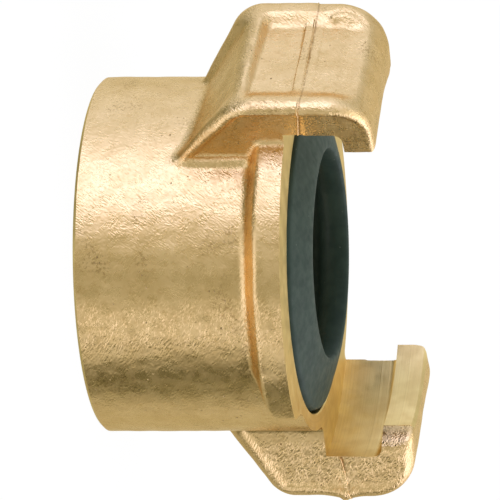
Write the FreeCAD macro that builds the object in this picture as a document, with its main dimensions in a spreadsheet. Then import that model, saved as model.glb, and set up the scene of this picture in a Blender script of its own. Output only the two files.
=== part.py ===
import FreeCAD, Part
import os
import Sketcher

# Threaded claw coupling: a forged brass body with a female pipe thread at the rear and a round
# face with two hooked claws in front, and a moulded rubber lip ring pressed into that face.
# The origin is on the axis at the rear end face, and +Z points out between the claws.
# Lengths are in millimetres. The first claw is centred on +X and the second on -X.

# Driving dimensions. Each name is the alias of one cell.
DRIVING = {
    # Threaded barrel
    "thread_diameter": 33.25,
    "barrel_wall": 2.375,
    "thread_depth": 14.6,
    "thread_mouth": 0.75,
    "barrel_edge": 0.3,
    # Web between the thread and the lip ring, with the waterway through it
    "waterway_diameter": 24,
    "web_thickness": 2.8,
    # Recess that holds the lip ring, with its undercut groove
    "recess_diameter": 34.4,
    "recess_depth": 5.1,
    "undercut_depth": 0.6,
    "undercut_width": 2.4,
    # Face rim that the other coupling's hooks run behind
    "rim_overhang": 2.75,
    "rim_thickness": 4.2,
    "rim_draft": 1.4,
    "rim_edge": 0.4,
    "rim_end_angle": 104,
    "rim_ramp": 2.7,
    "entry_far_angle": 170,
    "lead_in_angle": 89.5,
    "lead_in_length": 5.1,
    "lead_in_rise": 1.9,
    # Room for the other coupling's rim inside the claws
    "entry_clearance": 1,
    "rim_clearance": 1.1,
    "lock_gap": 1.95,
    "groove_corner": 1,
    # Claws
    "claw_wall": 3.9,
    "hook_thickness": 3.3,
    "lead_side_root": 9.3,
    "lead_side_top": 10.4,
    "trail_side_root": 7.2,
    "trail_side_top": 9,
    "hook_lead_side": 6.1,
    "hook_end_curve": 5,
    # Back slope of each claw, which is steeper at its lead side
    "lead_slope_foot": 12.5,
    "lead_slope_angle": 62,
    "trail_slope_foot": 10.5,
    "trail_slope_angle": 47,
    "claw_shoulder": 4,
    "claw_nose": 5,
    "claw_edge": 1.2,
    "hook_edge": 0.8,
    "lead_recess": 0.3,
    "trail_recess": 0.5,
    "side_border": 2,
    "side_ledge": 0.7,
    # Sunk panels on the back of each claw, parted by a rib at the parting line
    "parting_ahead": 2.25,
    "panel_depth": 1.1,
    "panel_width": 11.4,
    "panel_border": 1.4,
    "panel_rib": 1.1,
    # Lip ring
    "ring_clearance": 0.15,
    "lip_height": 1.75,
    "lip_opening": 22.3,
    "lip_shoulder": 0.5,
    "lip_edge": 0.25,
    "ring_wall": 3,
}

# Sizes that follow from the driving ones.
DERIVED = {
    "thread_radius": "thread_diameter / 2",
    "barrel_radius": "thread_radius + barrel_wall",
    "core_radius": "barrel_radius - barrel_wall / 2",
    "waterway_radius": "waterway_diameter / 2",
    "recess_radius": "recess_diameter / 2",
    "recess_floor": "thread_depth + web_thickness",
    "face_height": "recess_floor + recess_depth",
    "rim_radius": "barrel_radius + rim_overhang",
    "rim_back": "face_height - rim_thickness",
    "groove_radius": "rim_radius + rim_clearance",
    "hook_radius": "barrel_radius + entry_clearance",
    "hook_base": "face_height + rim_thickness + lock_gap",
    "claw_front": "hook_base + hook_thickness",
    "claw_back": "groove_radius + claw_wall",
    "parting_height": "face_height + parting_ahead",
    # Slope of each claw side seen from the front, and the distance of its plane from the axis
    "lead_tilt": "atan((lead_side_top - lead_side_root) / (claw_back - barrel_radius)) / 1deg",
    "trail_tilt": "atan((trail_side_top - trail_side_root) / (claw_back - barrel_radius)) / 1deg",
    "lead_plane": "lead_side_root * cos(lead_tilt * 1deg) - barrel_radius * sin(lead_tilt * 1deg)",
    "trail_plane": "trail_side_root * cos(trail_tilt * 1deg) - barrel_radius * sin(trail_tilt * 1deg)",
    "claw_rear": "min(lead_slope_foot; trail_slope_foot) - 2 * barrel_wall",
}

HALVES = 2
TOUCH = 0.01

doc = FreeCAD.newDocument("claw_coupling")
sheet = doc.addObject("Spreadsheet::Sheet", "Size")


def fill_sheet():
    """Write each size to the sheet with its name beside it."""
    rows = [(name, str(number)) for name, number in DRIVING.items()]
    rows += [(name, "=" + formula) for name, formula in DERIVED.items()]
    for row, (name, content) in enumerate(rows, start=1):
        sheet.set(f"A{row}", name)
        sheet.set(f"B{row}", content)
        sheet.setAlias(f"B{row}", name)
    doc.recompute()


def value(formula):
    """Number that a formula gives with the sheet as it is."""
    return float(sheet.evalExpression(formula))


def polar(radius, angle):
    """Formulas of the point at a radius and an angle in degrees."""
    return f"({radius}) * cos(({angle}) * 1deg)", f"({radius}) * sin(({angle}) * 1deg)"


def new_body(label):
    body = doc.addObject("PartDesign::Body", label)
    body.Label = label
    body.Placement = FreeCAD.Placement()
    return body


def origin_item(body, role):
    """Origin plane or axis of a body, found by its role."""
    return next(item for item in body.Origin.OriginFeatures if item.Role == role)


def new_sketch(body, name, plane, height="0", turn="0"):
    """Sketch on an origin plane of its own body, turned about Z and then moved out along its normal."""
    sketch = body.newObject("Sketcher::SketchObject", name)
    sketch.AttachmentSupport = [(origin_item(body, plane), "")]
    sketch.MapMode = "FlatFace"
    if turn == "0":
        sketch.setExpression("AttachmentOffset.Base.z", height)
    else:
        about_z = FreeCAD.Rotation(FreeCAD.Vector(0, 1, 0), 1)
        sketch.AttachmentOffset = FreeCAD.Placement(FreeCAD.Vector(), about_z)
        sketch.setExpression("AttachmentOffset.Rotation.Angle", turn)
        sketch.setExpression("AttachmentOffset.Base.x", f"({height}) * sin(({turn}) * 1deg)")
        sketch.setExpression("AttachmentOffset.Base.z", f"({height}) * cos(({turn}) * 1deg)")
    return sketch


def bulge_point(start, end, radius, side):
    """Middle of the arc from start to end that bulges right (side 1) or left (side -1) of the way."""
    way = end - start
    rise = radius - (radius ** 2 - (way.Length / 2) ** 2) ** 0.5
    return (start + end) / 2 + FreeCAD.Vector(way.y, -way.x, 0).normalize() * rise * side


def end_at(sketch, index, point):
    """Which end of an edge lies at a point: 1 for its start, 2 for its end."""
    return min((1, 2), key=lambda end: (sketch.getPoint(index, end) - point).Length)


def hold(sketch, kind, index, end, formula):
    """Fix one coordinate of a corner to a formula."""
    if formula == "0":
        axis = -2 if kind == "DistanceX" else -1
        sketch.addConstraint(Sketcher.Constraint("PointOnObject", index, end, axis))
        return
    number = sketch.addConstraint(Sketcher.Constraint(kind, -1, 1, index, end, value(formula)))
    sketch.setExpression(f"Constraints[{number}]", formula)


def draw_outline(sketch, corners):
    """Closed outline through corners, each two formulas (across, up).

    A corner with a radius and a side after them starts an arc, as bulge_point describes it.
    """
    first = sketch.GeometryCount
    points = [FreeCAD.Vector(value(corner[0]), value(corner[1]), 0) for corner in corners]
    for index, corner in enumerate(corners):
        start, end = points[index], points[(index + 1) % len(points)]
        if len(corner) == 2:
            sketch.addGeometry(Part.LineSegment(start, end), False)
        else:
            middle = bulge_point(start, end, value(corner[2]), corner[3])
            sketch.addGeometry(Part.Arc(start, middle, end), False)
    for index, corner in enumerate(corners):
        here = first + index
        before = first + (index - 1) % len(corners)
        here_end = end_at(sketch, here, points[index])
        before_end = end_at(sketch, before, points[index])
        sketch.addConstraint(Sketcher.Constraint("Coincident", before, before_end, here, here_end))
        hold(sketch, "DistanceX", here, here_end, corner[0])
        hold(sketch, "DistanceY", here, here_end, corner[1])
    for index, corner in enumerate(corners):
        if len(corner) > 2:
            number = sketch.addConstraint(Sketcher.Constraint("Radius", first + index, value(corner[2])))
            sketch.setExpression(f"Constraints[{number}]", corner[2])


def revolve(body, name, corners, cut=False):
    """Profile in the XZ plane turned once round Z, added or cut."""
    sketch = new_sketch(body, name + "Profile", "XZ_Plane")
    draw_outline(sketch, corners)
    feature = body.newObject("PartDesign::Groove" if cut else "PartDesign::Revolution", name)
    feature.Profile = sketch
    feature.ReferenceAxis = (sketch, ["V_Axis"])
    feature.Angle = 360
    return step(feature, cut)


def extrude(body, name, sketch, length, cut=False, back=False):
    """Sketch extruded along its normal, or against it (back), added or cut."""
    feature = body.newObject("PartDesign::Pocket" if cut else "PartDesign::Pad", name)
    feature.Profile = sketch
    feature.setExpression("Length", length)
    feature.Reversed = back != cut
    return step(feature, cut)


def repeat_round(body, name):
    """The whole solid so far, repeated evenly round Z."""
    pattern = body.newObject("PartDesign::PolarPattern", name)
    pattern.TransformMode = "Whole shape"
    pattern.Axis = (origin_item(body, "Z_Axis"), [""])
    pattern.Angle = 360
    pattern.Occurrences = HALVES
    body.Tip = pattern
    return step(pattern)


def round_edges(body, name, radius, test):
    """Fillet on the edges of the solid so far that pass a test."""
    base = body.Tip
    chosen = [f"Edge{n}" for n, edge in enumerate(base.Shape.Edges, start=1) if test(edge)]
    feature = body.newObject("PartDesign::Fillet", name)
    feature.Base = (base, chosen)
    feature.setExpression("Radius", radius)
    return step(feature, cut=None)


def step(feature, cut=False):
    """Build a feature and make sure that it worked and changed the solid the right way."""
    doc.recompute()
    assert not {"Invalid", "Error"} & set(feature.State), f"{feature.Name} failed"
    before = feature.BaseFeature.Shape.Volume if feature.BaseFeature else 0.0
    after = feature.Shape.Volume
    changed = after != before if cut is None else (after < before if cut else after > before)
    assert changed, f"{feature.Name} changed nothing"
    return feature


def ramp_point(outward):
    """Point on the ramp that ends the rim, by how far it lies outside the rim's edge."""
    reach, run = f"(Size.rim_radius + {outward})", f"({outward}) / Size.rim_overhang * Size.rim_ramp"
    end = "(Size.rim_end_angle * 1deg)"
    return f"{reach} * cos{end} + {run} * sin{end}", f"{reach} * sin{end} - {run} * cos{end}"


def rim_feature(body):
    """Face rim all the way round, then the two entry gaps with their ramps and lead-ins."""
    shoulder = "Size.rim_back + Size.rim_draft"
    before_shoulder = f"{shoulder} - Size.rim_edge / Size.rim_overhang * Size.rim_draft"
    revolve(body, "Rim", [
        ("0", "Size.rim_back"),
        ("Size.barrel_radius", "Size.rim_back"),
        ("Size.rim_radius - Size.rim_edge", before_shoulder),
        ("Size.rim_radius", f"{shoulder} + Size.rim_edge / 2"),
        ("Size.rim_radius", "Size.face_height"),
        ("0", "Size.face_height"),
    ])
    gap = new_sketch(body, "EntryGapOutline", "XY_Plane", "Size.face_height")
    beyond = "2 * Size.rim_radius"
    draw_outline(gap, [
        ramp_point("Size.rim_overhang"),
        ramp_point("-2 * Size.rim_overhang"),
        polar("Size.core_radius", "Size.entry_far_angle"),
        polar(beyond, "Size.entry_far_angle"),
        polar(beyond, "(Size.rim_end_angle + Size.entry_far_angle) / 2"),
    ])
    gap_cut = extrude(body, "EntryGap", gap, "Size.rim_thickness", cut=True, back=True)
    ramp = new_sketch(body, "LeadInOutline", "XZ_Plane", "Size.core_radius / 2", "Size.lead_in_angle + 90")
    draw_outline(ramp, [
        ("0 - Size.lead_in_length", "Size.rim_back - Size.lead_in_rise"),
        ("2 * Size.lead_in_length", "Size.rim_back + 2 * Size.lead_in_rise"),
        ("2 * Size.lead_in_length", "Size.rim_back - Size.lead_in_rise"),
    ])
    lead_in = extrude(body, "LeadIn", ramp, "Size.rim_radius", cut=True)
    pattern = body.newObject("PartDesign::PolarPattern", "EntryGaps")
    pattern.Originals = [gap_cut, lead_in]
    pattern.Axis = (origin_item(body, "Z_Axis"), [""])
    pattern.Angle = 360
    pattern.Occurrences = HALVES
    body.Tip = pattern
    step(pattern, cut=True)


def side_line(side, across):
    """How far a claw's side stands from its middle, at a distance from the axis."""
    return f"Size.{side}_side_root + ({across} - Size.barrel_radius) * tan(Size.{side}_tilt * 1deg)"


def claw_block(body):
    """Outline of the claw seen from the front, with leaning sides, carried back to the barrel."""
    outline = new_sketch(body, "ClawOutline", "XY_Plane", "Size.claw_front")
    inner = "Size.waterway_radius"
    draw_outline(outline, [
        (inner, f"0 - ({side_line('lead', inner)})"),
        ("Size.claw_back", "0 - Size.lead_side_top"),
        ("Size.claw_back", "Size.trail_side_top"),
        (inner, side_line("trail", inner)),
    ])
    extrude(body, "Claw", outline, "Size.claw_front - Size.claw_rear", back=True)


def claw_slope(body):
    """Twisted slope at the back of the claw, cut between its outlines beyond the two sides."""
    outlines = []
    for side, height in (("lead", "Size.lead_side_top"), ("trail", "0 - Size.trail_side_top")):
        rate = f"tan(Size.{side}_slope_angle * 1deg)"
        rise = "(Size.barrel_radius - Size.waterway_radius)"
        over = "(Size.claw_back + Size.claw_wall)"
        outline = new_sketch(body, f"{side.title()}Slope", "XZ_Plane", height)
        draw_outline(outline, [
            ("Size.waterway_radius", f"Size.{side}_slope_foot - {rise} / {rate}"),
            (over, f"Size.{side}_slope_foot + ({over} - Size.barrel_radius) / {rate}"),
            (over, "0"),
            ("Size.waterway_radius", "0"),
        ])
        outlines.append(outline)
    slope = body.newObject("PartDesign::SubtractiveLoft", "BackSlope")
    slope.Profile = outlines[0]
    slope.Sections = outlines[1:]
    slope.Ruled = True
    step(slope, cut=True)


def hook_ends(body):
    """Lead end of the hook, cut back along an arc from the claw's side to the hook's inner edge."""
    outline = new_sketch(body, "HookEnd", "XY_Plane", "Size.claw_front")
    start = "sqrt(Size.groove_radius ^ 2 - Size.lead_side_top ^ 2)"
    draw_outline(outline, [
        (start, f"0 - ({side_line('lead', start)})", "Size.hook_end_curve", -1),
        ("sqrt(Size.hook_radius ^ 2 - Size.hook_lead_side ^ 2)", "0 - Size.hook_lead_side"),
        ("Size.waterway_radius", "0 - Size.hook_lead_side"),
        ("Size.waterway_radius", "0 - 2 * Size.lead_side_top"),
        (start, "0 - 2 * Size.lead_side_top"),
    ])
    extrude(body, "HookEndCut", outline, "Size.hook_thickness", cut=True, back=True)


def claw_panels(body):
    """Two shallow panels sunk into the back of the claw, either side of the rib."""
    outline = new_sketch(body, "PanelOutline", "YZ_Plane", "Size.claw_back")
    half = "Size.panel_width / 2"
    slope_run = "(Size.claw_back - Size.barrel_radius) / tan(Size.trail_slope_angle * 1deg)"
    rear_start = f"Size.trail_slope_foot + {slope_run} + Size.panel_border"
    spans = [
        (rear_start, "Size.parting_height - Size.panel_rib"),
        ("Size.parting_height", "Size.claw_front + Size.claw_nose"),
    ]
    for low, high in spans:
        draw_outline(outline, [
            (f"0 - {half}", low),
            (half, low),
            (half, high),
            (f"0 - {half}", high),
        ])
    extrude(body, "Panels", outline, "Size.panel_depth", cut=True, back=True)


def side_recess(body, side):
    """Shallow recess in a claw's side, which leaves a border along its slope, back, nose and front."""
    turn = f"{'-1 * ' if side == 'lead' else ''}Size.{side}_tilt"
    height = f"{'-1 * ' if side == 'trail' else ''}Size.{side}_plane"
    outline = new_sketch(body, f"{side.title()}Recess", "XZ_Plane", height, turn)
    tilt, slope = f"Size.{side}_tilt * 1deg", f"Size.{side}_slope_angle * 1deg"
    foot = f"(Size.barrel_radius * cos({tilt}) + Size.{side}_side_root * sin({tilt}))"

    def across(distance):
        return f"{foot} + ({distance} - Size.barrel_radius) / cos({tilt})"

    def on_slope(distance):
        rise = f"({distance} - Size.barrel_radius) / tan({slope})"
        return f"Size.{side}_slope_foot + {rise} + Size.side_border / sin({slope})"

    root = f"sqrt(Size.barrel_radius ^ 2 - Size.{side}_side_root ^ 2)"
    inner, top = f"({root} + Size.side_ledge)", "(Size.claw_back - Size.side_border)"
    draw_outline(outline, [
        (across(inner), on_slope(inner)),
        (across(top), on_slope(top)),
        (across(top), "Size.claw_front - Size.claw_nose", "Size.claw_nose - Size.side_border", 1),
        (across("(Size.claw_back - Size.claw_nose)"), "Size.claw_front - Size.side_border"),
        (across("Size.waterway_radius"), "Size.claw_front - Size.side_border"),
        (across("Size.waterway_radius"), "Size.face_height"),
        (across("Size.rim_radius"), "Size.face_height"),
        (across("Size.rim_radius"), "Size.rim_back"),
        (across(inner), "Size.rim_back"),
    ])
    name = f"{side.title()}RecessCut"
    extrude(body, name, outline, f"Size.{side}_recess", cut=True, back=side == "lead")


def points_of(edge):
    """Both ends and the middle of an edge."""
    return [edge.valueAt(edge.FirstParameter + (edge.LastParameter - edge.FirstParameter) * share)
            for share in (0, 0.5, 1)]


def along(edge, test):
    """Whether an edge passes a test at its ends and its middle."""
    return all(test(point) for point in points_of(edge))


def claw_rounding(body):
    """Nose, shoulder and long edges of the claw."""
    front, back, rear = value("Size.claw_front"), value("Size.claw_back"), value("Size.claw_rear")
    inner = value("Size.waterway_radius")
    slopes = {side: (value(f"Size.{side}_side_root"), value(f"tan(Size.{side}_tilt * 1deg)"))
              for side in ("lead", "trail")}
    barrel, rim = value("Size.barrel_radius"), value("Size.rim_radius")
    rim_back, face = value("Size.rim_back"), value("Size.face_height")

    def on_side(point):
        root, rate = slopes["lead" if point.y < 0 else "trail"]
        return abs(abs(point.y) - root - (point.x - barrel) * rate) < TOUCH

    def on_back(point):
        return point.x > back - TOUCH

    def meets_rim(point):
        return rim_back - TOUCH < point.z < face + TOUCH and point.x < rim

    round_edges(body, "Nose", "Size.claw_nose", lambda edge: along(
        edge, lambda point: on_back(point) and point.z > front - TOUCH))
    round_edges(body, "Shoulder", "Size.claw_shoulder", lambda edge: along(
        edge, lambda point: on_back(point) and point.z < front - TOUCH) and not along(edge, on_side))
    round_edges(body, "LongEdges", "Size.claw_edge", lambda edge: along(edge, on_side)
                and not along(edge, lambda point: point.x < inner + TOUCH)
                and not along(edge, lambda point: point.z < rear + TOUCH)
                and not along(edge, meets_rim))


def claw_feature(body):
    claw_block(body)
    claw_slope(body)
    claw_rounding(body)
    claw_panels(body)
    side_recess(body, "lead")
    side_recess(body, "trail")
    hook_ends(body)


def barrel_feature(body):
    revolve(body, "Barrel", [
        ("0", "0"),
        ("Size.barrel_radius - Size.barrel_edge", "0"),
        ("Size.barrel_radius", "Size.barrel_edge"),
        ("Size.barrel_radius", "Size.face_height"),
        ("0", "Size.face_height"),
    ])


def turned_features(body):
    """Everything that the lathe cuts: the face, the claw grooves, the recess and the thread bore."""
    revolve(body, "FaceTurning", [
        ("0", "Size.face_height"),
        ("Size.groove_radius", "Size.face_height"),
        ("Size.groove_radius", "Size.hook_base - Size.groove_corner"),
        ("Size.groove_radius - Size.groove_corner", "Size.hook_base"),
        ("Size.hook_radius", "Size.hook_base"),
        ("Size.hook_radius", "Size.claw_front - Size.hook_edge"),
        ("Size.hook_radius + Size.hook_edge", "Size.claw_front"),
        ("0", "Size.claw_front"),
    ], cut=True)
    undercut_foot = "Size.recess_floor + Size.undercut_width"
    revolve(body, "RingRecess", [
        ("0", "Size.recess_floor"),
        ("Size.recess_radius + Size.undercut_depth", "Size.recess_floor"),
        ("Size.recess_radius + Size.undercut_depth", undercut_foot),
        ("Size.recess_radius", f"{undercut_foot} + Size.undercut_depth"),
        ("Size.recess_radius", "Size.face_height"),
        ("0", "Size.face_height"),
    ], cut=True)
    revolve(body, "Waterway", [
        ("0", "0"),
        ("Size.thread_radius + Size.thread_mouth", "0"),
        ("Size.thread_radius", "Size.thread_mouth"),
        ("Size.thread_radius", "Size.thread_depth"),
        ("Size.waterway_radius", "Size.thread_depth"),
        ("Size.waterway_radius", "Size.recess_floor"),
        ("0", "Size.recess_floor"),
    ], cut=True)


def coupling_body():
    body = new_body("coupling_body")
    rim_feature(body)
    claw_feature(body)
    repeat_round(body, "BothClaws")
    barrel_feature(body)
    turned_features(body)
    return body


def seal_ring():
    """Rubber ring with a foot in the undercut and a lip that leans in over the waterway."""
    body = new_body("seal_ring")
    outer = "(Size.recess_radius - Size.ring_clearance)"
    foot_top = "(Size.recess_floor + Size.undercut_width - Size.ring_clearance)"
    lip = "(Size.face_height + Size.lip_height)"
    revolve(body, "Ring", [
        ("Size.waterway_radius + Size.ring_clearance", "Size.recess_floor"),
        (f"{outer} + Size.undercut_depth", "Size.recess_floor"),
        (f"{outer} + Size.undercut_depth", foot_top),
        (outer, f"{foot_top} + Size.undercut_depth"),
        (outer, "Size.face_height + Size.lip_shoulder"),
        ("Size.lip_opening / 2", lip),
        ("Size.lip_opening / 2", f"{lip} - Size.lip_edge"),
        (f"{outer} - Size.ring_wall", "Size.face_height - Size.ring_wall / 2"),
        (f"{outer} - Size.ring_wall", "Size.recess_floor + Size.undercut_width / 2"),
    ])
    return body


def check_and_write(bodies):
    """Stop if anything failed, then write one file for each piece."""
    doc.recompute()
    for item in doc.Objects:
        assert not {"Invalid", "Error"} & set(item.State), f"{item.Name} failed"
    os.makedirs("parts", exist_ok=True)
    for body in bodies:
        shape = body.Shape
        assert not shape.isNull() and shape.isValid(), f"{body.Label} has no sound shape"
        shape.exportStep(os.path.join("parts", body.Label + ".step"))
        print(f"{body.Label}: {len(shape.Solids)} solid, volume {shape.Volume:.1f}")


fill_sheet()
check_and_write([coupling_body(), seal_ring()])
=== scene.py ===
import math

import bpy
import numpy as np
from mathutils import Matrix, Vector


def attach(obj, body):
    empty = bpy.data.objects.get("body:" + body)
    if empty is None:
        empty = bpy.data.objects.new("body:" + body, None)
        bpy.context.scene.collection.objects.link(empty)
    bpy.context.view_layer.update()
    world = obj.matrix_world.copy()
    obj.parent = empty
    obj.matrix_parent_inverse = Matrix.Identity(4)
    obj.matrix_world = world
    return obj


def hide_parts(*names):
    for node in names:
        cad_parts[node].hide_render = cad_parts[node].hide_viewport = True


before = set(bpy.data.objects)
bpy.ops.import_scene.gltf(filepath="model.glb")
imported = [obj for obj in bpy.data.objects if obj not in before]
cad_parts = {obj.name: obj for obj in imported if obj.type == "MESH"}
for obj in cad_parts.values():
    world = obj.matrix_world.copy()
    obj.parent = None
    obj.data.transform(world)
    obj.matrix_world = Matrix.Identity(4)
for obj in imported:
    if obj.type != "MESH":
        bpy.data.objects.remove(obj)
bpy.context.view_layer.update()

# Lengths are in millimetres, in the part's own frame, and become metres when a mesh is made.
MM = 0.001

# Barrel, thread and the recess for the seal
BARREL_R = 19.0
BARREL_CHAMFER = 0.3
THREAD_R = 16.625
THREAD_MOUTH = 0.75
THREAD_DEPTH = 14.6
THREAD_PITCH = 2.309
THREAD_HEIGHT = 1.479
WATERWAY_R = 12.0
RECESS_R = 17.2
RECESS_FLOOR = 17.4
RECESS_CHAMFER = 0.12
UNDERCUT = 0.6
UNDERCUT_TOP = 19.8
SEAL_GAP = 0.12
FACE_Z = 22.5
TURNED_OFF = 1.0

# Face rim, with its ramped ends and the lead-ins under them
RIM_R = 21.75
RIM_BACK = 18.3
RIM_DRAFT = 1.4
RIM_EDGE = 0.4
RIM_ROOT = 0.6
RIM_END = math.radians(104)
RIM_START = math.radians(-10)
LEAD_IN = math.radians(89.5)
LEAD_IN_RATE = 1.9 / 5.1

# Groove behind the hooks, and the hooks
GROOVE_R = 22.85
GROOVE_CORNER = 1.0
HOOK_R = 20.0
HOOK_BASE = 28.65
HOOK_EDGE = 0.3
HOOK_CUT_Y = -6.1
HOOK_CUT_X = 20.4
HOOK_CUT_BELOW = 0.3
HOOK_CUT_EDGE = 0.4
HOOK_CUT_ARC_R = 5.0
HOOK_CUT_ARC_X = 24.05
HOOK_CUT_ARC_Y = -6.13

# Claws. The lead side goes first when the coupling is turned shut, and the trail side follows.
CLAW_FRONT = 31.95
CLAW_BACK = 26.75
CLAW_INNER = 12.0
CLAW_ROOT = 0.6
NOSE_R = 5.0
SHOULDER = 1.9
LEAD_EDGE = 2.1
TRAIL_EDGE = 1.8
LEAD_ROOT = 9.3
LEAD_TOP = 10.4
LEAD_FOOT = 12.5
LEAD_ANGLE = math.radians(62)
TRAIL_ROOT = 7.2
TRAIL_TOP = 9.0
TRAIL_FOOT = 10.5
TRAIL_ANGLE = math.radians(47)

# Panels sunk into a claw's back. A soft edge is given as where it starts and how wide it is.
PANEL_LEAD_EDGE = (-7.8, 1.8)
PANEL_TRAIL_EDGE = (7.1, 2.7)
PANEL_REAR_EDGE = (18.5, 1.2)
PANEL_REAR_LEAN = 0.06
RIB_REAR_EDGE = (24.2, 0.6)
RIB_FRONT_EDGE = (24.85, 1.1)
NOSE_FADE = (28.3, 31.0)
REAR_PANEL_DEPTH = 1.05
FRONT_PANEL_DEPTH = 1.0
RIB_DEPTH = 0.82
PANEL_SHOULDER = 0.8
RELIEF_REACH = 4.0
RELIEF_FADE = 1.5

# Fold beside the front panel of one claw
FOLD_Z = (25.15, 25.72, 26.72, 27.97, 29.35, 30.09)
FOLD_Y = (-7.9, -7.0, -7.6, -8.0, -7.5, -6.9)
FOLD_WIDTH = 0.26
FOLD_DEPTH = 0.2
FOLD_START = (25.0, 0.5)
FOLD_END = (30.4, 0.8)
BUMP_Y = -6.9
BUMP_Z = 26.69
BUMP_R = 0.36
BUMP_HEIGHT = 0.26

# Shallow hollows in the claws' sides
TRAIL_HOLLOW = 0.8
FAINT_TRAIL_HOLLOW = 0.15
LEAD_HOLLOW = 0.3
TRAIL_MARGIN = 1.5
LEAD_MARGIN = 2.0
HOLLOW_PAST_FRONT = 0.8
HOLLOW_LEDGE = 0.9
HOLLOW_CORNER = 0.3
HOLLOW_EDGE = 0.7

# Parting line of the die, and the raised strip and lug beside it on one claw's lead side
PARTING_Z = 24.8
PARTING_LEAN = 0.13
DIE_SHIFT = 0.06
DIE_STEP_BELOW = 0.2
DIE_STEP_ABOVE = 0.1
STRIP_BELOW = 0.65
STRIP_HALF = 0.45
STRIP_HEIGHT = 0.28
STRIP_FROM_Y = (7.5, 8.5)
STRIP_FROM_X = (22.9, 23.6)
LUG_X = 25.9
LUG_Y = -9.9
LUG_BELOW = 0.8
LUG_STRETCH = 0.8
LUG_R = 1.1
LUG_HEIGHT = 0.4

# Unevenness of the forging, and the grid that its mesh is made on
LONG_UNEVEN = 0.05
SHORT_UNEVEN = 0.022
BLANK_LOW = (-27.6, -22.6, -1.6)
BLANK_HIGH = (27.6, 22.6, 32.8)
CELL = 0.3

# The camera looks across the coupling's axis: side is the picture's up, away points to the camera.
AZIMUTH = math.radians(-39.8)
ELEVATION = math.radians(10.38)
ROLL = math.radians(0.37)
SIDE = Vector((-math.cos(AZIMUTH), -math.sin(AZIMUTH), 0))
AWAY = Vector((math.sin(AZIMUTH), -math.cos(AZIMUTH), 0))
AXIS = Vector((0, 0, 1))
CAMERA_ALONG = 15.204
CAMERA_UP = 0.4745
CAMERA_BACK = 698.9
CAMERA_LENS = 468

# Ways that the forging's wrinkles run
STROKES_A = AXIS * 0.75 - SIDE * 0.55 + AWAY * 0.25
STROKES_B = AXIS * 0.45 + SIDE * 0.8 + AWAY * 0.4

# Colours, linear
BRASS_PALE = (0.85, 0.605, 0.335, 1)
BRASS_DEEP = (0.78, 0.545, 0.285, 1)
BRASS_BROWN = (0.60, 0.38, 0.15, 1)
BRASS_STAIN = (0.30, 0.17, 0.06, 1)
PIT_DARK = (0.16, 0.09, 0.04, 1)
# Painted shade of the crease beside the parting ridge, with some dirt
LINE_SHADE_AND_DIRT = (0.30, 0.17, 0.07, 1)
EDGE_TINT = (0.90, 0.80, 0.58, 1)
TURNED_PALE = (0.87, 0.67, 0.33, 1)
TURNED_DEEP = (0.77, 0.57, 0.27, 1)
TURNED_MARK = (0.52, 0.37, 0.17, 1)
RUBBER_DARK = (0.018, 0.034, 0.025, 1)
RUBBER_LIGHT = (0.027, 0.046, 0.034, 1)
RUBBER_DUST = (0.25, 0.27, 0.25, 1)
FLOOR_GREY = (0.5, 0.5, 0.5, 1)

# How bright the studio is on every side of the part, by the angle in degrees
# from the camera's side towards the picture's top
WALL_LIGHT = (
    (-180, 0.7), (-160, 0.70), (-140, 0.58), (-120, 0.68), (-100, 0.26), (-80, 0.04),
    (-60, 0.90), (-40, 0.68), (-20, 0.40), (0, 0.57), (20, 0.74), (40, 2.2),
    (60, 1.7), (80, 1.0), (100, 0.78), (120, 1.14), (140, 0.73), (160, 0.88), (180, 0.7),
)
UPPER_LIGHT = (
    (-180, 0.80), (-120, 2.2), (-60, 1.5), (0, 0.4), (60, 1.1), (120, 0.60), (180, 0.75),
)
LOWER_LIGHT = (
    (-180, 0.55), (-120, 0.3), (-60, 1.5), (0, 1.1), (60, 0.2), (120, 0.25), (180, 0.55),
)
BRIGHTEST = 4.0
LOWER_TILTS = (-50, -30)
UPPER_TILTS = (10, 30)
COOL_FROM = (0.25, 0.75)
COOL_GREEN = 0.07
COOL_BLUE = 0.24
PLAIN_BLUE = 0.93
BLUE_BY_LIGHT = 0.35

rng = np.random.default_rng(7)


# Distance fields. Each returns millimetres, negative inside.

def round_max(a, b, radius):
    """Overlap of two fields, with a convex edge of that radius."""
    inner = np.minimum(np.maximum(a, b), -radius)
    return inner + np.hypot(np.maximum(a + radius, 0), np.maximum(b + radius, 0))


def round_min(a, b, radius):
    """Union of two fields, with a hollow fillet of that radius."""
    return -round_max(-a, -b, radius)


def step_up(value, low, high):
    share = np.clip((value - low) / (high - low), 0, 1)
    return share * share * (3 - 2 * share)


def wave_set(count, shortest, longest):
    """Directions and phases of plane waves that add up to an uneven surface."""
    way = rng.normal(size=(count, 3))
    way /= np.linalg.norm(way, axis=1, keepdims=True)
    length = rng.uniform(shortest, longest, count)
    return way * (2 * math.pi / length)[:, None], rng.uniform(0, 2 * math.pi, count)


def waves(x, y, z, chosen):
    """Sum of plane waves, about -1 to 1."""
    total = np.zeros_like(x)
    for way, phase in zip(*chosen):
        total += np.sin(x * way[0] + y * way[1] + z * way[2] + phase)
    return total / math.sqrt(len(chosen[1]) * 2)


LONG_WAVES = wave_set(7, 7.0, 16.0)
SHORT_WAVES = wave_set(12, 1.6, 3.6)
EDGE_WAVES = wave_set(8, 2.0, 6.0)


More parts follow.
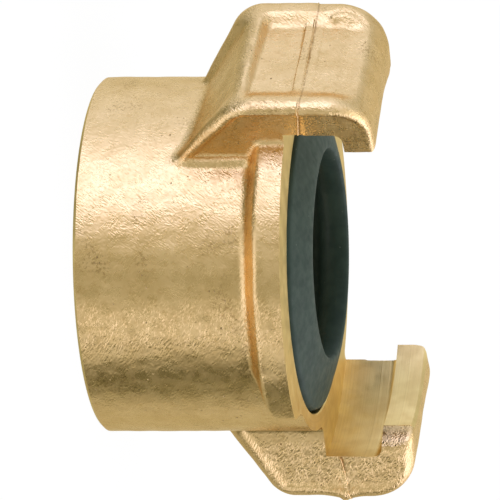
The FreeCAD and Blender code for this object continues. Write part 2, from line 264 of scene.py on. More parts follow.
def rim_field(x, y, z):
    """Face rim with its ramped ends and the lead-ins under them."""
    flip = np.where(x * math.sin(-RIM_START) + y * math.cos(-RIM_START) < 0, -1.0, 1.0)
    px, py = x * flip, y * flip
    radius = np.hypot(x, y)
    slope = math.atan(RIM_DRAFT / (RIM_R - BARREL_R))
    back = ((RIM_BACK - z) + (radius - BARREL_R) * math.tan(slope)) * math.cos(slope)
    solid = round_max(back, radius - RIM_R, RIM_EDGE)
    out = px * math.cos(RIM_END) + py * math.sin(RIM_END) - RIM_R
    on = -px * math.sin(RIM_END) + py * math.cos(RIM_END)
    solid = round_max(solid, (on + out) / math.sqrt(2), RIM_EDGE)
    on = -px * math.sin(LEAD_IN) + py * math.cos(LEAD_IN)
    lift = (RIM_BACK + LEAD_IN_RATE * on - z) / math.hypot(1, LEAD_IN_RATE)
    solid = round_max(solid, lift, RIM_EDGE / 2)
    return np.maximum(solid, z - FACE_Z - TURNED_OFF)


def rise(value, low, width):
    """Soft step from 0 to 1 that starts at low."""
    return step_up(value, low, low + width)


def fall(value, high, width):
    """Soft step from 1 to 0 that ends at high."""
    return rise(-value, -high, width)


def panel_width(y):
    """1 between a claw's long borders and 0 on them."""
    return rise(y, *PANEL_LEAD_EDGE) * fall(y, *PANEL_TRAIL_EDGE)


def panel_depth(y, z):
    """How deep the two panels are sunk into a claw's back, with the rib between them."""
    nose = 1 - step_up(z, *NOSE_FADE)
    start = rise(z + PANEL_REAR_LEAN * y, *PANEL_REAR_EDGE)
    rear = REAR_PANEL_DEPTH * start * fall(z, *RIB_REAR_EDGE)
    ahead = FRONT_PANEL_DEPTH * rise(z, *RIB_FRONT_EDGE) * nose
    rib = RIB_DEPTH * start * nose
    return panel_width(y) * np.maximum(np.maximum(rear, ahead), rib)


def fold_depth(y, z):
    """Crease with a small round bump in it, which the die left beside the front panel of one claw."""
    middle = np.interp(z, FOLD_Z, FOLD_Y)
    crease = np.exp(-((y - middle) / FOLD_WIDTH) ** 2)
    crease = crease * rise(z, *FOLD_START) * fall(z, *FOLD_END)
    bump = np.exp(-(np.hypot(y - BUMP_Y, z - BUMP_Z) / BUMP_R) ** 2)
    return FOLD_DEPTH * crease - BUMP_HEIGHT * bump


def claw_field(x, y, z, sign):
    """One claw as forged, before it is turned.

    The claw stands on +X. The one on -X is the same claw, looked up turned by half a turn.
    """
    upper_die = step_up(z, PARTING_Z - DIE_STEP_BELOW, PARTING_Z + DIE_STEP_ABOVE)
    y = y + sign * DIE_SHIFT * (2 * upper_die - 1)
    lead_rate = (LEAD_TOP - LEAD_ROOT) / (CLAW_BACK - BARREL_R)
    trail_rate = (TRAIL_TOP - TRAIL_ROOT) / (CLAW_BACK - BARREL_R)
    lead = (-y - LEAD_ROOT - (x - BARREL_R) * lead_rate) / math.hypot(1, lead_rate)
    trail = (y - TRAIL_ROOT - (x - BARREL_R) * trail_rate) / math.hypot(1, trail_rate)
    share = (y + LEAD_TOP) / (LEAD_TOP + TRAIL_TOP)
    foot = LEAD_FOOT + (TRAIL_FOOT - LEAD_FOOT) * share + PANEL_SHOULDER * panel_width(y)
    lead_cot = 1 / math.tan(LEAD_ANGLE)
    cot = lead_cot + (1 / math.tan(TRAIL_ANGLE) - lead_cot) * share
    slope = (foot + (x - BARREL_R) * cot - z) / np.hypot(1, cot)
    outline = round_max(x - CLAW_BACK, z - CLAW_FRONT, NOSE_R)
    shoulder = SHOULDER - PANEL_SHOULDER * panel_width(y)
    outline = round_max(outline, slope, shoulder)
    solid = round_max(outline, trail, TRAIL_EDGE)
    solid = round_max(solid, lead, LEAD_EDGE)
    relief = panel_depth(y, z)
    if sign < 0:
        relief = relief + fold_depth(y, z)
    solid = solid + relief * rise(x, CLAW_BACK - RELIEF_REACH, RELIEF_FADE)
    # Shallow hollows in both sides. One claw has the trail side's hollow only faintly.
    behind = round_max(x - CLAW_BACK, z - CLAW_FRONT - HOLLOW_PAST_FRONT, NOSE_R)
    behind = round_max(behind, slope, shoulder)
    trail_hollow = TRAIL_HOLLOW if sign < 0 else FAINT_TRAIL_HOLLOW
    sides = (
        (trail, trail_hollow, TRAIL_ROOT, TRAIL_MARGIN),
        (lead, LEAD_HOLLOW, LEAD_ROOT, LEAD_MARGIN),
    )
    for side, sunk, root, margin in sides:
        inner = math.sqrt(BARREL_R ** 2 - root ** 2) + HOLLOW_LEDGE - x
        hollow = round_max(-side - sunk, behind + margin, HOLLOW_CORNER)
        hollow = round_max(hollow, inner, HOLLOW_CORNER)
        solid = round_max(solid, -hollow, HOLLOW_EDGE)
    # Lead end of the hook, cut back along an arc
    arc_cut = HOOK_CUT_ARC_R - np.hypot(x - HOOK_CUT_ARC_X, y - HOOK_CUT_ARC_Y)
    end = np.maximum(np.maximum(y - HOOK_CUT_Y, x - HOOK_CUT_X), arc_cut)
    end = np.maximum(end, HOOK_BASE - HOOK_CUT_BELOW - z)
    solid = round_max(solid, -end, HOOK_CUT_EDGE)
    return np.maximum(solid, CLAW_INNER - x)


def lead_side_marks(x, y, z):
    """Height of the raised strip on the lead side, and of the lug where it reaches the back."""
    strip = np.exp(-((z - PARTING_Z + STRIP_BELOW) / STRIP_HALF) ** 4)
    strip = strip * step_up(-y, *STRIP_FROM_Y) * step_up(x, *STRIP_FROM_X)
    lug = np.hypot(np.hypot(x - LUG_X, y - LUG_Y), (z - PARTING_Z + LUG_BELOW) * LUG_STRETCH)
    return STRIP_HEIGHT * strip + LUG_HEIGHT * np.exp(-(lug / LUG_R) ** 2)


def forging_field(x, y, z):
    """The whole forged blank."""
    radius = np.hypot(x, y)
    ends = np.maximum(-TURNED_OFF - z, z - FACE_Z - TURNED_OFF)
    barrel = np.maximum(radius - BARREL_R, ends)
    solid = round_min(barrel, rim_field(x, y, z), RIM_ROOT)
    for sign in (1.0, -1.0):
        claw = claw_field(x * sign, y * sign, z, sign)
        if sign > 0:
            claw = claw - lead_side_marks(x, y, z)
        solid = round_min(solid, claw, CLAW_ROOT)
    uneven = LONG_UNEVEN * waves(x, y, z, LONG_WAVES) + SHORT_UNEVEN * waves(x, y, z, SHORT_WAVES)
    return solid + uneven


def gradient(field, points, gap=0.02):
    """Slope of a field at points."""
    x, y, z = points.T
    return np.stack([
        field(x + gap, y, z) - field(x - gap, y, z),
        field(x, y + gap, z) - field(x, y - gap, z),
        field(x, y, z + gap) - field(x, y, z - gap),
    ], axis=1) / (2 * gap)


def mesh_of_field(field, low, high, cell):
    """Points and quads of a field's zero surface, one point in each cell that the surface crosses."""
    low, high = np.array(low, float), np.array(high, float)
    count = np.ceil((high - low) / cell).astype(int) + 1
    axes = [low[i] + cell * np.arange(count[i]) for i in range(3)]
    values = np.empty(count, np.float32)
    for layer, z in enumerate(axes[2]):
        x, y = np.meshgrid(axes[0], axes[1], indexing="ij")
        values[:, :, layer] = field(x, y, np.full_like(x, z))
    inside = values < 0
    corners = [(i, j, k) for i in (0, 1) for j in (0, 1) for k in (0, 1)]
    size = count - 1
    cut = [inside[i:i + size[0], j:j + size[1], k:k + size[2]] for i, j, k in corners]
    mixed = np.any(cut, axis=0) & ~np.all(cut, axis=0)
    cells = np.argwhere(mixed)
    number = -np.ones(size, np.int64)
    number[mixed] = np.arange(len(cells))
    at = {c: values[cells[:, 0] + c[0], cells[:, 1] + c[1], cells[:, 2] + c[2]] for c in corners}
    total, hits = np.zeros((len(cells), 3)), np.zeros(len(cells))
    for a in corners:
        for axis in range(3):
            if a[axis]:
                continue
            b = tuple(1 if i == axis else a[i] for i in range(3))
            crosses = (at[a] < 0) != (at[b] < 0)
            share = np.where(crosses, at[a] / np.where(crosses, at[a] - at[b], 1), 0)
            place = np.array(a, float) + share[:, None] * np.eye(3)[axis]
            total += np.where(crosses[:, None], place, 0)
            hits += crosses
    points = low + (cells + total / hits[:, None]) * cell
    quads = []
    for axis in range(3):
        one, two = [i for i in range(3) if i != axis]
        first = np.take(inside, range(count[axis] - 1), axis)
        second = np.take(inside, range(1, count[axis]), axis)
        for edges, outward in ((first & ~second, True), (~first & second, False)):
            spots = np.argwhere(edges)
            first_way, second_way = spots[:, one], spots[:, two]
            keep = (first_way > 0) & (first_way < size[one]) & (second_way > 0) & (second_way < size[two])
            spots = spots[keep]
            ring = []
            for da, db in ((-1, -1), (0, -1), (0, 0), (-1, 0)):
                spot = spots.copy()
                spot[:, one] += da
                spot[:, two] += db
                ring.append(number[spot[:, 0], spot[:, 1], spot[:, 2]])
            if outward == (axis == 1):
                ring.reverse()
            quads.append(np.stack(ring, axis=1))
    for _ in range(3):
        slope = gradient(field, points)
        move = field(*points.T)[:, None] * slope / np.maximum((slope ** 2).sum(axis=1, keepdims=True), 0.1)
        points -= np.clip(move, -cell / 2, cell / 2)
    return points, np.concatenate(quads)


# Objects

def new_object(name, points, faces, materials=(), smooth=True):
    mesh = bpy.data.meshes.new(name)
    mesh.from_pydata((np.asarray(points) * MM).tolist(), [], [list(map(int, f)) for f in faces])
    for material in materials:
        mesh.materials.append(material)
    mesh.polygons.foreach_set("use_smooth", [smooth] * len(mesh.polygons))
    mesh.validate()
    mesh.update()
    thing = bpy.data.objects.new(name, mesh)
    bpy.context.scene.collection.objects.link(thing)
    return thing


def lathe(name, profile, steps, materials=()):
    """Closed profile of (radius, height) turned round Z. Points on the axis become one point."""
    points, faces, rings = [], [], []
    for radius, height in profile:
        if radius < 1e-6:
            rings.append([len(points)] * steps)
            points.append((0, 0, height))
            continue
        rings.append(list(range(len(points), len(points) + steps)))
        for i in range(steps):
            angle = 2 * math.pi * i / steps
            points.append((radius * math.cos(angle), radius * math.sin(angle), height))
    for lower, upper in zip(rings, rings[1:] + rings[:1]):
        if lower[0] == lower[1] and upper[0] == upper[1]:
            continue
        for i in range(steps):
            j = (i + 1) % steps
            face = []
            for v in (lower[i], lower[j], upper[j], upper[i]):
                if v not in face:
                    face.append(v)
            faces.append(face)
    return new_object(name, points, faces, materials)


def arc(centre, radius, start, end, steps):
    """Points of (radius, height) on an arc, in degrees."""
    return [(centre[0] + radius * math.cos(math.radians(start + (end - start) * i / steps)),
             centre[1] + radius * math.sin(math.radians(start + (end - start) * i / steps)))
            for i in range(steps + 1)]


def applied(thing):
    """The same object with its modifiers made part of its mesh."""
    depsgraph = bpy.context.evaluated_depsgraph_get()
    mesh = bpy.data.meshes.new_from_object(thing.evaluated_get(depsgraph))
    thing.modifiers.clear()
    old = thing.data
    thing.data = mesh
    bpy.data.meshes.remove(old)
    mesh.name = thing.name
    return thing


# Materials

class Nodes:
    """Short calls to build the nodes of one material, or of the world."""

    def __init__(self, owner):
        owner.use_nodes = True
        self.owner = owner
        self.tree = owner.node_tree
        self.shader = self.tree.nodes.get("Principled BSDF")

    def add(self, kind, **settings):
        node = self.tree.nodes.new(kind)
        for key, value in settings.items():
            setattr(node, key, value)
        return node

    def wire(self, source, target):
        self.tree.links.new(source, target)

    def feed(self, socket, value):
        """Link a socket, or give it a plain value."""
        if hasattr(value, "is_output"):
            self.wire(value, socket)
        else:
            socket.default_value = value

    def place(self):
        return self.add("ShaderNodeTexCoord").outputs["Object"]

    def stretched(self, vector, scale):
        node = self.add("ShaderNodeMapping")
        self.wire(vector, node.inputs["Vector"])
        node.inputs["Scale"].default_value = scale
        return node.outputs["Vector"]

    def noise(self, vector, cell_mm, detail=2.0, rough=0.5, distortion=0.0):
        node = self.add("ShaderNodeTexNoise")
        self.wire(vector, node.inputs["Vector"])
        node.inputs["Scale"].default_value = 1 / (cell_mm * MM)
        node.inputs["Detail"].default_value = detail
        node.inputs["Roughness"].default_value = rough
        node.inputs["Distortion"].default_value = distortion
        return node.outputs["Fac"]

    def cells(self, vector, cell_mm):
        """Distance to the nearest of many scattered points."""
        node = self.add("ShaderNodeTexVoronoi")
        self.wire(vector, node.inputs["Vector"])
        node.inputs["Scale"].default_value = 1 / (cell_mm * MM)
        return node.outputs["Distance"]

    def math(self, kind, a, b=0.0):
        node = self.add("ShaderNodeMath", operation=kind)
        self.feed(node.inputs[0], a)
        self.feed(node.inputs[1], b)
        return node.outputs["Value"]

    def span(self, value, low, high, to_low=0.0, to_high=1.0):
        """Value brought from one range into another, with soft ends."""
        node = self.add("ShaderNodeMapRange", interpolation_type="SMOOTHSTEP")
        self.feed(node.inputs["Value"], value)
        limits = (("From Min", low), ("From Max", high), ("To Min", to_low), ("To Max", to_high))
        for name, number in limits:
            node.inputs[name].default_value = number
        return node.outputs["Result"]

    def mix(self, share, a, b):
        node = self.add("ShaderNodeMix", data_type="RGBA")
        self.feed(node.inputs[0], share)
        self.feed(node.inputs[6], a)
        self.feed(node.inputs[7], b)
        return node.outputs[2]

    def apart(self, vector):
        """The three parts of a vector."""
        node = self.add("ShaderNodeSeparateXYZ")
        self.wire(vector, node.inputs[0])
        return node.outputs

    def along(self, vector, way):
        """How far a vector reaches along a way."""
        node = self.add("ShaderNodeVectorMath", operation="DOT_PRODUCT")
        self.wire(vector, node.inputs[0])
        node.inputs[1].default_value = way
        return node.outputs["Value"]

    def bump(self, height, distance_mm, strength=1.0, below=None):
        node = self.add("ShaderNodeBump")
        self.wire(height, node.inputs["Height"])
        node.inputs["Distance"].default_value = distance_mm * MM
        self.feed(node.inputs["Strength"], strength)
        if below is not None:
            self.wire(below, node.inputs["Normal"])
        return node.outputs["Normal"]


def parting_shade_and_dirt(n, here):
    """1 in a thin broken line just ahead of the parting ridge on the claws, and 0 elsewhere. The line is
    painted shade of the crease beside the ridge, with some dirt.
    """
    ahead, half, soft = 0.17, 0.05, 0.08
    x, _, z = n.apart(here)
    out = n.math("ABSOLUTE", x)
    start = (PARTING_Z + ahead - PARTING_LEAN * CLAW_BACK) * MM
    line_z = n.math("ADD", n.math("MULTIPLY", out, PARTING_LEAN), start)
    wander = n.math("MULTIPLY", n.math("SUBTRACT", n.noise(here, 1.2, 2), 0.5), 0.25 * MM)
    off_line = n.math("ABSOLUTE", n.math("ADD", n.math("SUBTRACT", z, line_z), wander))
    line = n.span(off_line, half * MM, (half + soft) * MM, 1, 0)
    on_claws = n.span(out, 18 * MM, 18.5 * MM)
    broken = n.span(n.noise(here, 0.6, 1), 0.38, 0.5, 0.35, 1)
    return n.math("MULTIPLY", n.math("MULTIPLY", line, on_claws), broken)


def scattered_pits(n, here):
    """1 in small round pits of two sizes, which lie in patches, and 0 elsewhere."""
    pits = None
    for spacing, radius, patch in ((1.3, 0.075, 4.0), (0.75, 0.09, 2.5)):
        distance = n.cells(n.stretched(here, (1, 1, 1 + patch / 10)), spacing)
        pit = n.span(distance, radius, radius + 0.05, 1, 0)
        pit = n.math("MULTIPLY", pit, n.span(n.noise(here, patch, 1), 0.62, 0.68))
        pits = pit if pits is None else n.math("MAXIMUM", pits, pit)
    return pits


def die_strokes(n, here, aside):
    """Short strokes in two ways, each in its own patches. Their ways bend a little."""
    bend, bend_size, stretch = 0.5, 1.5, 3.6
    wander = n.add("ShaderNodeTexNoise")
    n.wire(here, wander.inputs["Vector"])
    wander.inputs["Scale"].default_value = 1 / (bend_size * MM)
    shift = n.add("ShaderNodeVectorMath", operation="SCALE")
    n.wire(wander.outputs["Color"], shift.inputs[0])
    shift.inputs["Scale"].default_value = bend * MM
    bent = n.add("ShaderNodeVectorMath", operation="ADD")
    n.wire(here, bent.inputs[0])
    n.wire(shift.outputs["Vector"], bent.inputs[1])
    patches = n.math("SUBTRACT", n.noise(here, 2.2, 1), n.math("MULTIPLY", aside, 22))
    patches = n.span(patches, 0.42, 0.58)
    strokes = None
    for way, size in ((STROKES_A, 0.15), (STROKES_B, 0.18)):
        turned = n.add("ShaderNodeMapping", vector_type="TEXTURE")
        n.wire(bent.outputs["Vector"], turned.inputs["Vector"])
        turned.inputs["Rotation"].default_value = way.to_track_quat("Z", "Y").to_euler()
        turned.inputs["Scale"].default_value = (1, 1, stretch)
        line = n.noise(turned.outputs["Vector"], size, 1.5, 0.55)
        strokes = line if strokes is None else n.mix(patches, strokes, line)
    return strokes


def stroke_depth(n, aside):
    """Share of the strokes' full depth: deepest in a band towards one claw and on that claw."""
    rising = n.span(aside, -6.5 * MM, -4 * MM, 0.8, 0.3)
    falling = n.span(aside, -11 * MM, -9 * MM, 0.35, 0.8)
    band = n.math("MINIMUM", rising, falling)
    upper = n.span(aside, 0, 4 * MM, 0.3, 0.55)
    claw = n.span(aside, -21 * MM, -19.5 * MM, 0.9, 0)
    return n.math("MAXIMUM", n.math("MAXIMUM", band, upper), claw)


def forged_brass():
    n = Nodes(bpy.data.materials.new("forged_brass"))
    here = n.place()
    base = n.mix(n.span(n.noise(here, 3.0, 3), 0.35, 0.65), BRASS_PALE, BRASS_DEEP)
    base = n.mix(n.span(n.noise(here, 0.5, 2), 0.52, 0.75, 0, 0.35), base, BRASS_BROWN)
    grain = n.span(n.noise(here, 0.35, 3, 0.7), 0.50, 0.62)
    stain = n.math("MULTIPLY", grain, n.span(n.noise(here, 5.0, 1), 0.60, 0.70))
    base = n.mix(n.math("MULTIPLY", stain, 0.5), base, BRASS_STAIN)
    pits = scattered_pits(n, here)
    # The pits are given a darker colour than the brass around them
    base = n.mix(n.math("MULTIPLY", pits, 0.7), base, PIT_DARK)
    # A darker line just ahead of the parting ridge: painted shade of the crease there, with some dirt
    base = n.mix(n.math("MULTIPLY", parting_shade_and_dirt(n, here), 0.5), base, LINE_SHADE_AND_DIRT)
    n.wire(base, n.shader.inputs["Base Color"])
    n.shader.inputs["Metallic"].default_value = 1.0
    n.shader.inputs["Specular Tint"].default_value = EDGE_TINT
    n.wire(n.span(n.noise(here, 1.2, 3), 0.3, 0.7, 0.23, 0.33), n.shader.inputs["Roughness"])
    # The skin, from coarse to fine: two sizes of unevenness, the strokes, then the pits
    aside = n.along(here, SIDE)
    strokes = die_strokes(n, here, aside)
    below = n.bump(n.noise(here, 1.8, 1, 0.5, 0.3), 0.055)
    below = n.bump(n.noise(here, 0.5, 2, 0.6, 0.5), 0.018, 1.0, below)
    below = n.bump(strokes, 0.15, stroke_depth(n, aside), below)
    n.wire(n.bump(pits, -0.10, 1.0, below), n.shader.inputs["Normal"])
    return n.owner


def turned_brass():
    n = Nodes(bpy.data.materials.new("turned_brass"))
    here = n.place()
    x, y, z = n.apart(here)
    squares = n.math("ADD", n.math("MULTIPLY", x, x), n.math("MULTIPLY", y, y))
    rings = n.add("ShaderNodeCombineXYZ")
    n.wire(n.math("SQRT", squares), rings.inputs[0])
    n.wire(z, rings.inputs[1])
    marks = n.noise(rings.outputs[0], 0.16, 3, 0.6)
    base = n.mix(n.span(n.noise(here, 2.5, 2), 0.35, 0.65), TURNED_PALE, TURNED_DEEP)
    base = n.mix(n.span(marks, 0.4, 0.7, 0, 0.25), base, TURNED_MARK)
    n.wire(base, n.shader.inputs["Base Color"])
    n.shader.inputs["Metallic"].default_value = 1.0
    n.shader.inputs["Specular Tint"].default_value = EDGE_TINT
    n.wire(n.span(n.noise(here, 1.5, 2), 0.3, 0.7, 0.30, 0.40), n.shader.inputs["Roughness"])
    n.wire(n.bump(marks, 0.012), n.shader.inputs["Normal"])
    return n.owner


def seal_rubber():
    n = Nodes(bpy.data.materials.new("seal_rubber"))
    here = n.place()
    base = n.mix(n.span(n.noise(here, 2.0, 3), 0.35, 0.65), RUBBER_DARK, RUBBER_LIGHT)
    specks = n.span(n.cells(here, 1.1), 0.03, 0.07, 1, 0)
    dust = n.math("MULTIPLY", specks, n.span(n.noise(here, 3, 0), 0.5, 0.6))
    base = n.mix(n.math("MULTIPLY", dust, 0.5), base, RUBBER_DUST)
    n.wire(base, n.shader.inputs["Base Color"])
    n.shader.inputs["Specular IOR Level"].default_value = 0.22
    n.wire(n.span(n.noise(here, 0.8, 2), 0.3, 0.7, 0.50, 0.64), n.shader.inputs["Roughness"])
    n.wire(n.bump(n.noise(here, 0.25, 2), 0.01), n.shader.inputs["Normal"])
    return n.owner


def pale_floor():
    """Floor that is mostly white light to the camera, over a pale diffuse grey."""
    n = Nodes(bpy.data.materials.new("pale_floor"))
    n.shader.inputs["Base Color"].default_value = FLOOR_GREY
    n.shader.inputs["Roughness"].default_value = 0.9
    n.shader.inputs["Specular IOR Level"].default_value = 0.0
    path = n.add("ShaderNodeLightPath")
    white = n.add("ShaderNodeEmission")
    white.inputs["Strength"].default_value = 1.04
    seen = n.math("MAXIMUM", path.outputs["Is Camera Ray"], path.outputs["Is Transmission Ray"])
    mix = n.add("ShaderNodeMixShader")
    n.wire(n.math("MULTIPLY", seen, 0.93), mix.inputs[0])
    n.wire(n.shader.outputs[0], mix.inputs[1])
    n.wire(white.outputs[0], mix.inputs[2])
    n.wire(mix.outputs[0], n.tree.nodes["Material Output"].inputs["Surface"])
    return n.owner


# Pieces

def make_body(cast, turned):
    """Forged blank with everything that the lathe cuts taken out of it."""
    points, quads = mesh_of_field(forging_field, BLANK_LOW, BLANK_HIGH, CELL)
    blank = new_object("claw_coupling_body", points, quads, [cast])
    outside, past_end, corner_steps, turns = 40, 5, 8, 360
    barrel_end = BARREL_R - BARREL_CHAMFER
    hook_side = HOOK_R + 2 * HOOK_EDGE
    profile = [
        (0, -past_end), (outside, -past_end), (outside, past_end), (barrel_end + past_end, past_end),
        (barrel_end, 0), (THREAD_R + THREAD_MOUTH, 0), (THREAD_R, THREAD_MOUTH),
        (THREAD_R, THREAD_DEPTH), (WATERWAY_R, THREAD_DEPTH), (WATERWAY_R, RECESS_FLOOR),
        (RECESS_R + UNDERCUT, RECESS_FLOOR), (RECESS_R + UNDERCUT, UNDERCUT_TOP),
        (RECESS_R, UNDERCUT_TOP + UNDERCUT), (RECESS_R, FACE_Z - RECESS_CHAMFER),
        (RECESS_R + RECESS_CHAMFER, FACE_Z), (GROOVE_R, FACE_Z),
    ]
    corner = (GROOVE_R - GROOVE_CORNER, HOOK_BASE - GROOVE_CORNER)
    profile += arc(corner, GROOVE_CORNER, 0, 90, corner_steps)
    profile += [
        (HOOK_R, HOOK_BASE), (HOOK_R, CLAW_FRONT - HOOK_EDGE), (hook_side, CLAW_FRONT + HOOK_EDGE),
        (hook_side, outside), (0, outside),
    ]
    cutter = lathe("cutter", profile, turns, [turned])
    cut = blank.modifiers.new("cut", "BOOLEAN")
    cut.operation = "DIFFERENCE"
    cut.object = cutter
    cut.solver = "EXACT"
    cut.material_mode = "TRANSFER"
    applied(blank)
    bpy.data.objects.remove(cutter)
    blank.data.set_sharp_from_angle(angle=math.radians(38))
    return blank


def make_thread(turned):
    """Helical ridge that stands inward from the bore."""
    sunk, foot, flank, crest, bevel = 0.25, 1.13, 0.22, 0.1, 0.14
    first_z, end_gap, steps = -1.0, 0.02, 96
    section = [
        (sunk, -foot), (bevel - THREAD_HEIGHT, -flank), (-THREAD_HEIGHT, -crest),
        (-THREAD_HEIGHT, crest), (bevel - THREAD_HEIGHT, flank), (sunk, foot),
    ]
    points, faces = [], []
    total = int((THREAD_DEPTH / THREAD_PITCH + 1.2) * steps)
    for i in range(total + 1):
        angle = 2 * math.pi * i / steps
        middle = first_z + THREAD_PITCH * i / steps
        for inward, along in section:
            height = min(max(middle + along, end_gap), THREAD_DEPTH - end_gap)
            in_mouth = height < THREAD_MOUTH + THREAD_HEIGHT
            limit = THREAD_R + THREAD_MOUTH - height if in_mouth else 0
            radius = max(THREAD_R + inward, min(limit, THREAD_R + sunk))
            points.append((radius * math.cos(angle), radius * math.sin(angle), height))
    width = len(section)
    for i in range(total):
        here, beyond = i * width, (i + 1) * width
        for k in range(width):
            m = (k + 1) % width
            faces.append([here + k, here + m, beyond + m, beyond + k])
    faces.append(list(range(width))[::-1])
    faces.append([total * width + k for k in range(width)])
    thread = new_object("pipe_thread", points, faces, [turned])
    thread.data.set_sharp_from_angle(angle=math.radians(30))
    return thread


def make_seal(rubber):
    """Lip ring: a foot in the undercut, a leaning face, and a lip that rolls over into the opening."""
    outer = RECESS_R - SEAL_GAP
    foot = outer + 0.52
    profile = [
        (12.15, 17.42), (outer + 0.45, 17.42), (foot, 17.5), (foot, 19.6), (outer, 20.2),
        (outer, 21.5), (16.72, 22.45), (16.64, 22.66), (16.5, 22.8), (16.2, 22.92),
        (15.6, 23.1), (14.2, 23.6), (12.9, 24.0), (12.2, 24.17),
        (11.62, 24.26), (11.42, 24.26), (11.28, 24.18), (11.18, 24.0),
        (11.1, 23.6), (11.05, 23.1), (11.05, 22.4), (11.3, 21.9), (12.4, 21.2), (13.6, 20.7),
        (13.95, 20.2), (13.95, 18.7),
    ]
    return lathe("lip_seal", profile, 288, [rubber])


def make_flash():
    """Points and faces of the thin uneven ridges that the die leaves round the outside of both claws."""
    reach, step, start_x, furthest, halvings = 150.0, 0.8, 23.6, 14.0, 24
    buried, rear_foot, rear_crest, front_crest, front_foot = 0.15, -0.17, -0.05, 0.04, 0.1
    points, faces = [], []
    angles = np.radians(np.arange(-reach, reach + 0.5, step))
    for sign in (1, -1):
        # Where each ray from inside the claw leaves the blank, found by halving
        out = np.stack([np.cos(angles), np.sin(angles)]) * sign
        start = np.array([[start_x * sign], [0.0]])
        level = np.full(len(angles), PARTING_Z + 0.05)
        low = np.full(len(angles), 0.5)
        high = np.full(len(angles), furthest)
        for _ in range(halvings):
            middle = (low + high) / 2
            inside = forging_field(*(start + out * middle), level) < 0
            low = np.where(inside, middle, low)
            high = np.where(inside, high, middle)
        spots = start + out * low
        keep = np.hypot(*spots) > GROOVE_R + 0.1
        spots, out = spots[:, keep], out[:, keep]
        flat = np.zeros(keep.sum())
        tall = 0.12 + 0.09 * waves(*spots, flat, EDGE_WAVES) + 0.06 * waves(*spots, flat, SHORT_WAVES)
        tall = np.maximum(tall, 0.03)
        first = len(points)
        count = len(tall)
        for i in range(count):
            section = (
                (rear_foot, -buried), (rear_crest, tall[i]),
                (front_crest, tall[i] * 0.9), (front_foot, -buried),
            )
            for along, stands in section:
                x, y = spots[:, i] + out[:, i] * stands
                lean = PARTING_LEAN * (CLAW_BACK - abs(x))
                points.append((x, y, PARTING_Z - lean + along))
        width = len(section)
        for i in range(count - 1):
            here, beyond = first + width * i, first + width * (i + 1)
            for k in range(width):
                m = (k + 1) % width
                faces.append([here + k, here + m, beyond + m, beyond + k])
        faces.append([first + k for k in range(width)][::-1])
        faces.append([first + width * (count - 1) + k for k in range(width)])
    return points, faces


def top_box():
    """One weak square lamp, which hangs over the part and shines straight down."""
    data = bpy.data.lights.new("top_box", "AREA")
    data.shape = "RECTANGLE"
    data.size = data.size_y = 0.5
    data.energy = 0.7
    lamp = bpy.data.objects.new("top_box", data)
    lamp.location = (0, 0, 0.6)
    bpy.context.scene.collection.objects.link(lamp)


def make_floor():
    """Wide floor just under the part, which only the camera sees."""
    half, drop = 3000, 0.02
    corners = [(-half, -half, 0), (half, -half, 0), (half, half, 0), (-half, half, 0)]
    floor = new_object("floor", corners, [(0, 1, 2, 3)], [pale_floor()], smooth=False)
    floor.location.z = -drop * MM
    floor.visible_glossy = False
    floor.visible_diffuse = False
    floor.visible_shadow = False
    return floor


def make_camera():
    """Camera rolled so that the coupling's axis lies across the picture."""
    level = math.cos(ELEVATION) * AXIS - math.sin(ELEVATION) * AWAY
    right = math.cos(ROLL) * level - math.sin(ROLL) * SIDE
    up = math.sin(ROLL) * level + math.cos(ROLL) * SIDE
    back = math.sin(ELEVATION) * AXIS + math.cos(ELEVATION) * AWAY
    data = bpy.data.cameras.new("camera")
    data.lens = CAMERA_LENS
    data.clip_start, data.clip_end = 0.01, 20
    camera = bpy.data.objects.new("camera", data)
    bpy.context.scene.collection.objects.link(camera)
    place = CAMERA_ALONG * right + CAMERA_UP * up + CAMERA_BACK * back
    turn = Matrix((right, up, back)).transposed().to_4x4()
    camera.matrix_world = Matrix.Translation(place * MM) @ turn
    return camera


# Light

def tilt(degrees):
    """Height of a direction that rises by that many degrees."""
    return math.sin(math.radians(degrees))


def brightness_by_angle(n, share, light):
    """Brightness looked up round the part, where share runs from 0 at -180 degrees to 1 at 180 degrees."""
    ramp = n.add("ShaderNodeValToRGB")
    stops = ramp.color_ramp.elements
    while len(stops) < len(light):
        stops.new(0.5)
    for stop, (angle, strength) in zip(stops, light):
        grey = strength / BRIGHTEST
        stop.position = (angle + 180) / 360
        stop.color = (grey, grey, grey, 1)
    n.wire(share, ramp.inputs["Fac"])
    return n.math("MULTIPLY", ramp.outputs["Color"], BRIGHTEST)


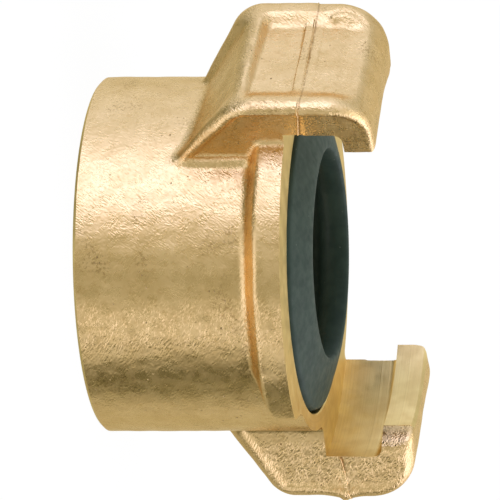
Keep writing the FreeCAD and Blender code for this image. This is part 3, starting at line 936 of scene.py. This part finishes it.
def studio_tint(n, light, side):
    """Colour of the light. Dimmer light is warmer, and light from above the part is cooler."""
    above = n.span(side, *COOL_FROM)
    cool = n.math("ADD", n.math("MULTIPLY", above, COOL_BLUE), PLAIN_BLUE)
    blue = n.math("MULTIPLY", n.math("POWER", light, BLUE_BY_LIGHT), cool)
    tint = n.add("ShaderNodeCombineColor")
    tint.inputs["Red"].default_value = 1.0
    n.wire(n.math("ADD", n.math("MULTIPLY", above, COOL_GREEN), 1.0), tint.inputs["Green"])
    n.wire(blue, tint.inputs["Blue"])
    return tint.outputs["Color"]


def soft_studio():
    """World that is white to the camera, and whose light on the part changes with direction."""
    n = Nodes(bpy.data.worlds.new("studio"))
    way = n.add("ShaderNodeTexCoord").outputs["Generated"]
    side, away, height = [n.along(way, axis) for axis in (SIDE, AWAY, AXIS)]
    angle = n.math("ARCTAN2", side, away)
    share = n.math("ADD", n.math("DIVIDE", angle, 2 * math.pi), 0.5)
    low = n.span(height, tilt(LOWER_TILTS[0]), tilt(LOWER_TILTS[1]), 1, 0)
    high = n.span(height, tilt(UPPER_TILTS[0]), tilt(UPPER_TILTS[1]), 0, 1)
    middle = n.math("SUBTRACT", n.math("SUBTRACT", 1.0, low), high)
    light = n.math("MULTIPLY", brightness_by_angle(n, share, WALL_LIGHT), middle)
    for part, ramp in ((low, LOWER_LIGHT), (high, UPPER_LIGHT)):
        light = n.math("ADD", light, n.math("MULTIPLY", brightness_by_angle(n, share, ramp), part))
    background = n.tree.nodes["Background"]
    seen = n.add("ShaderNodeLightPath").outputs["Is Camera Ray"]
    colour = n.mix(seen, studio_tint(n, light, side), (1, 1, 1, 1))
    n.wire(colour, background.inputs["Color"])
    unseen = n.math("MULTIPLY", light, n.math("SUBTRACT", 1.0, seen))
    n.wire(n.math("ADD", unseen, seen), background.inputs["Strength"])
    return n.owner


cast = forged_brass()
turned = turned_brass()
pieces = (
    (make_body(cast, turned), "brass", "coupling_body"),
    (new_object("parting_flash", *make_flash(), [cast]), "brass", "coupling_body"),
    (make_thread(turned), "brass", "coupling_body"),
    (make_seal(seal_rubber()), "rubber", "seal_ring"),
)
for piece, slot, node in pieces:
    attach(piece, "root")
    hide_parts(node)
make_floor()

scene = bpy.context.scene
scene.camera = make_camera()
scene.world = soft_studio()
top_box()
scene.view_settings.view_transform = "Standard"
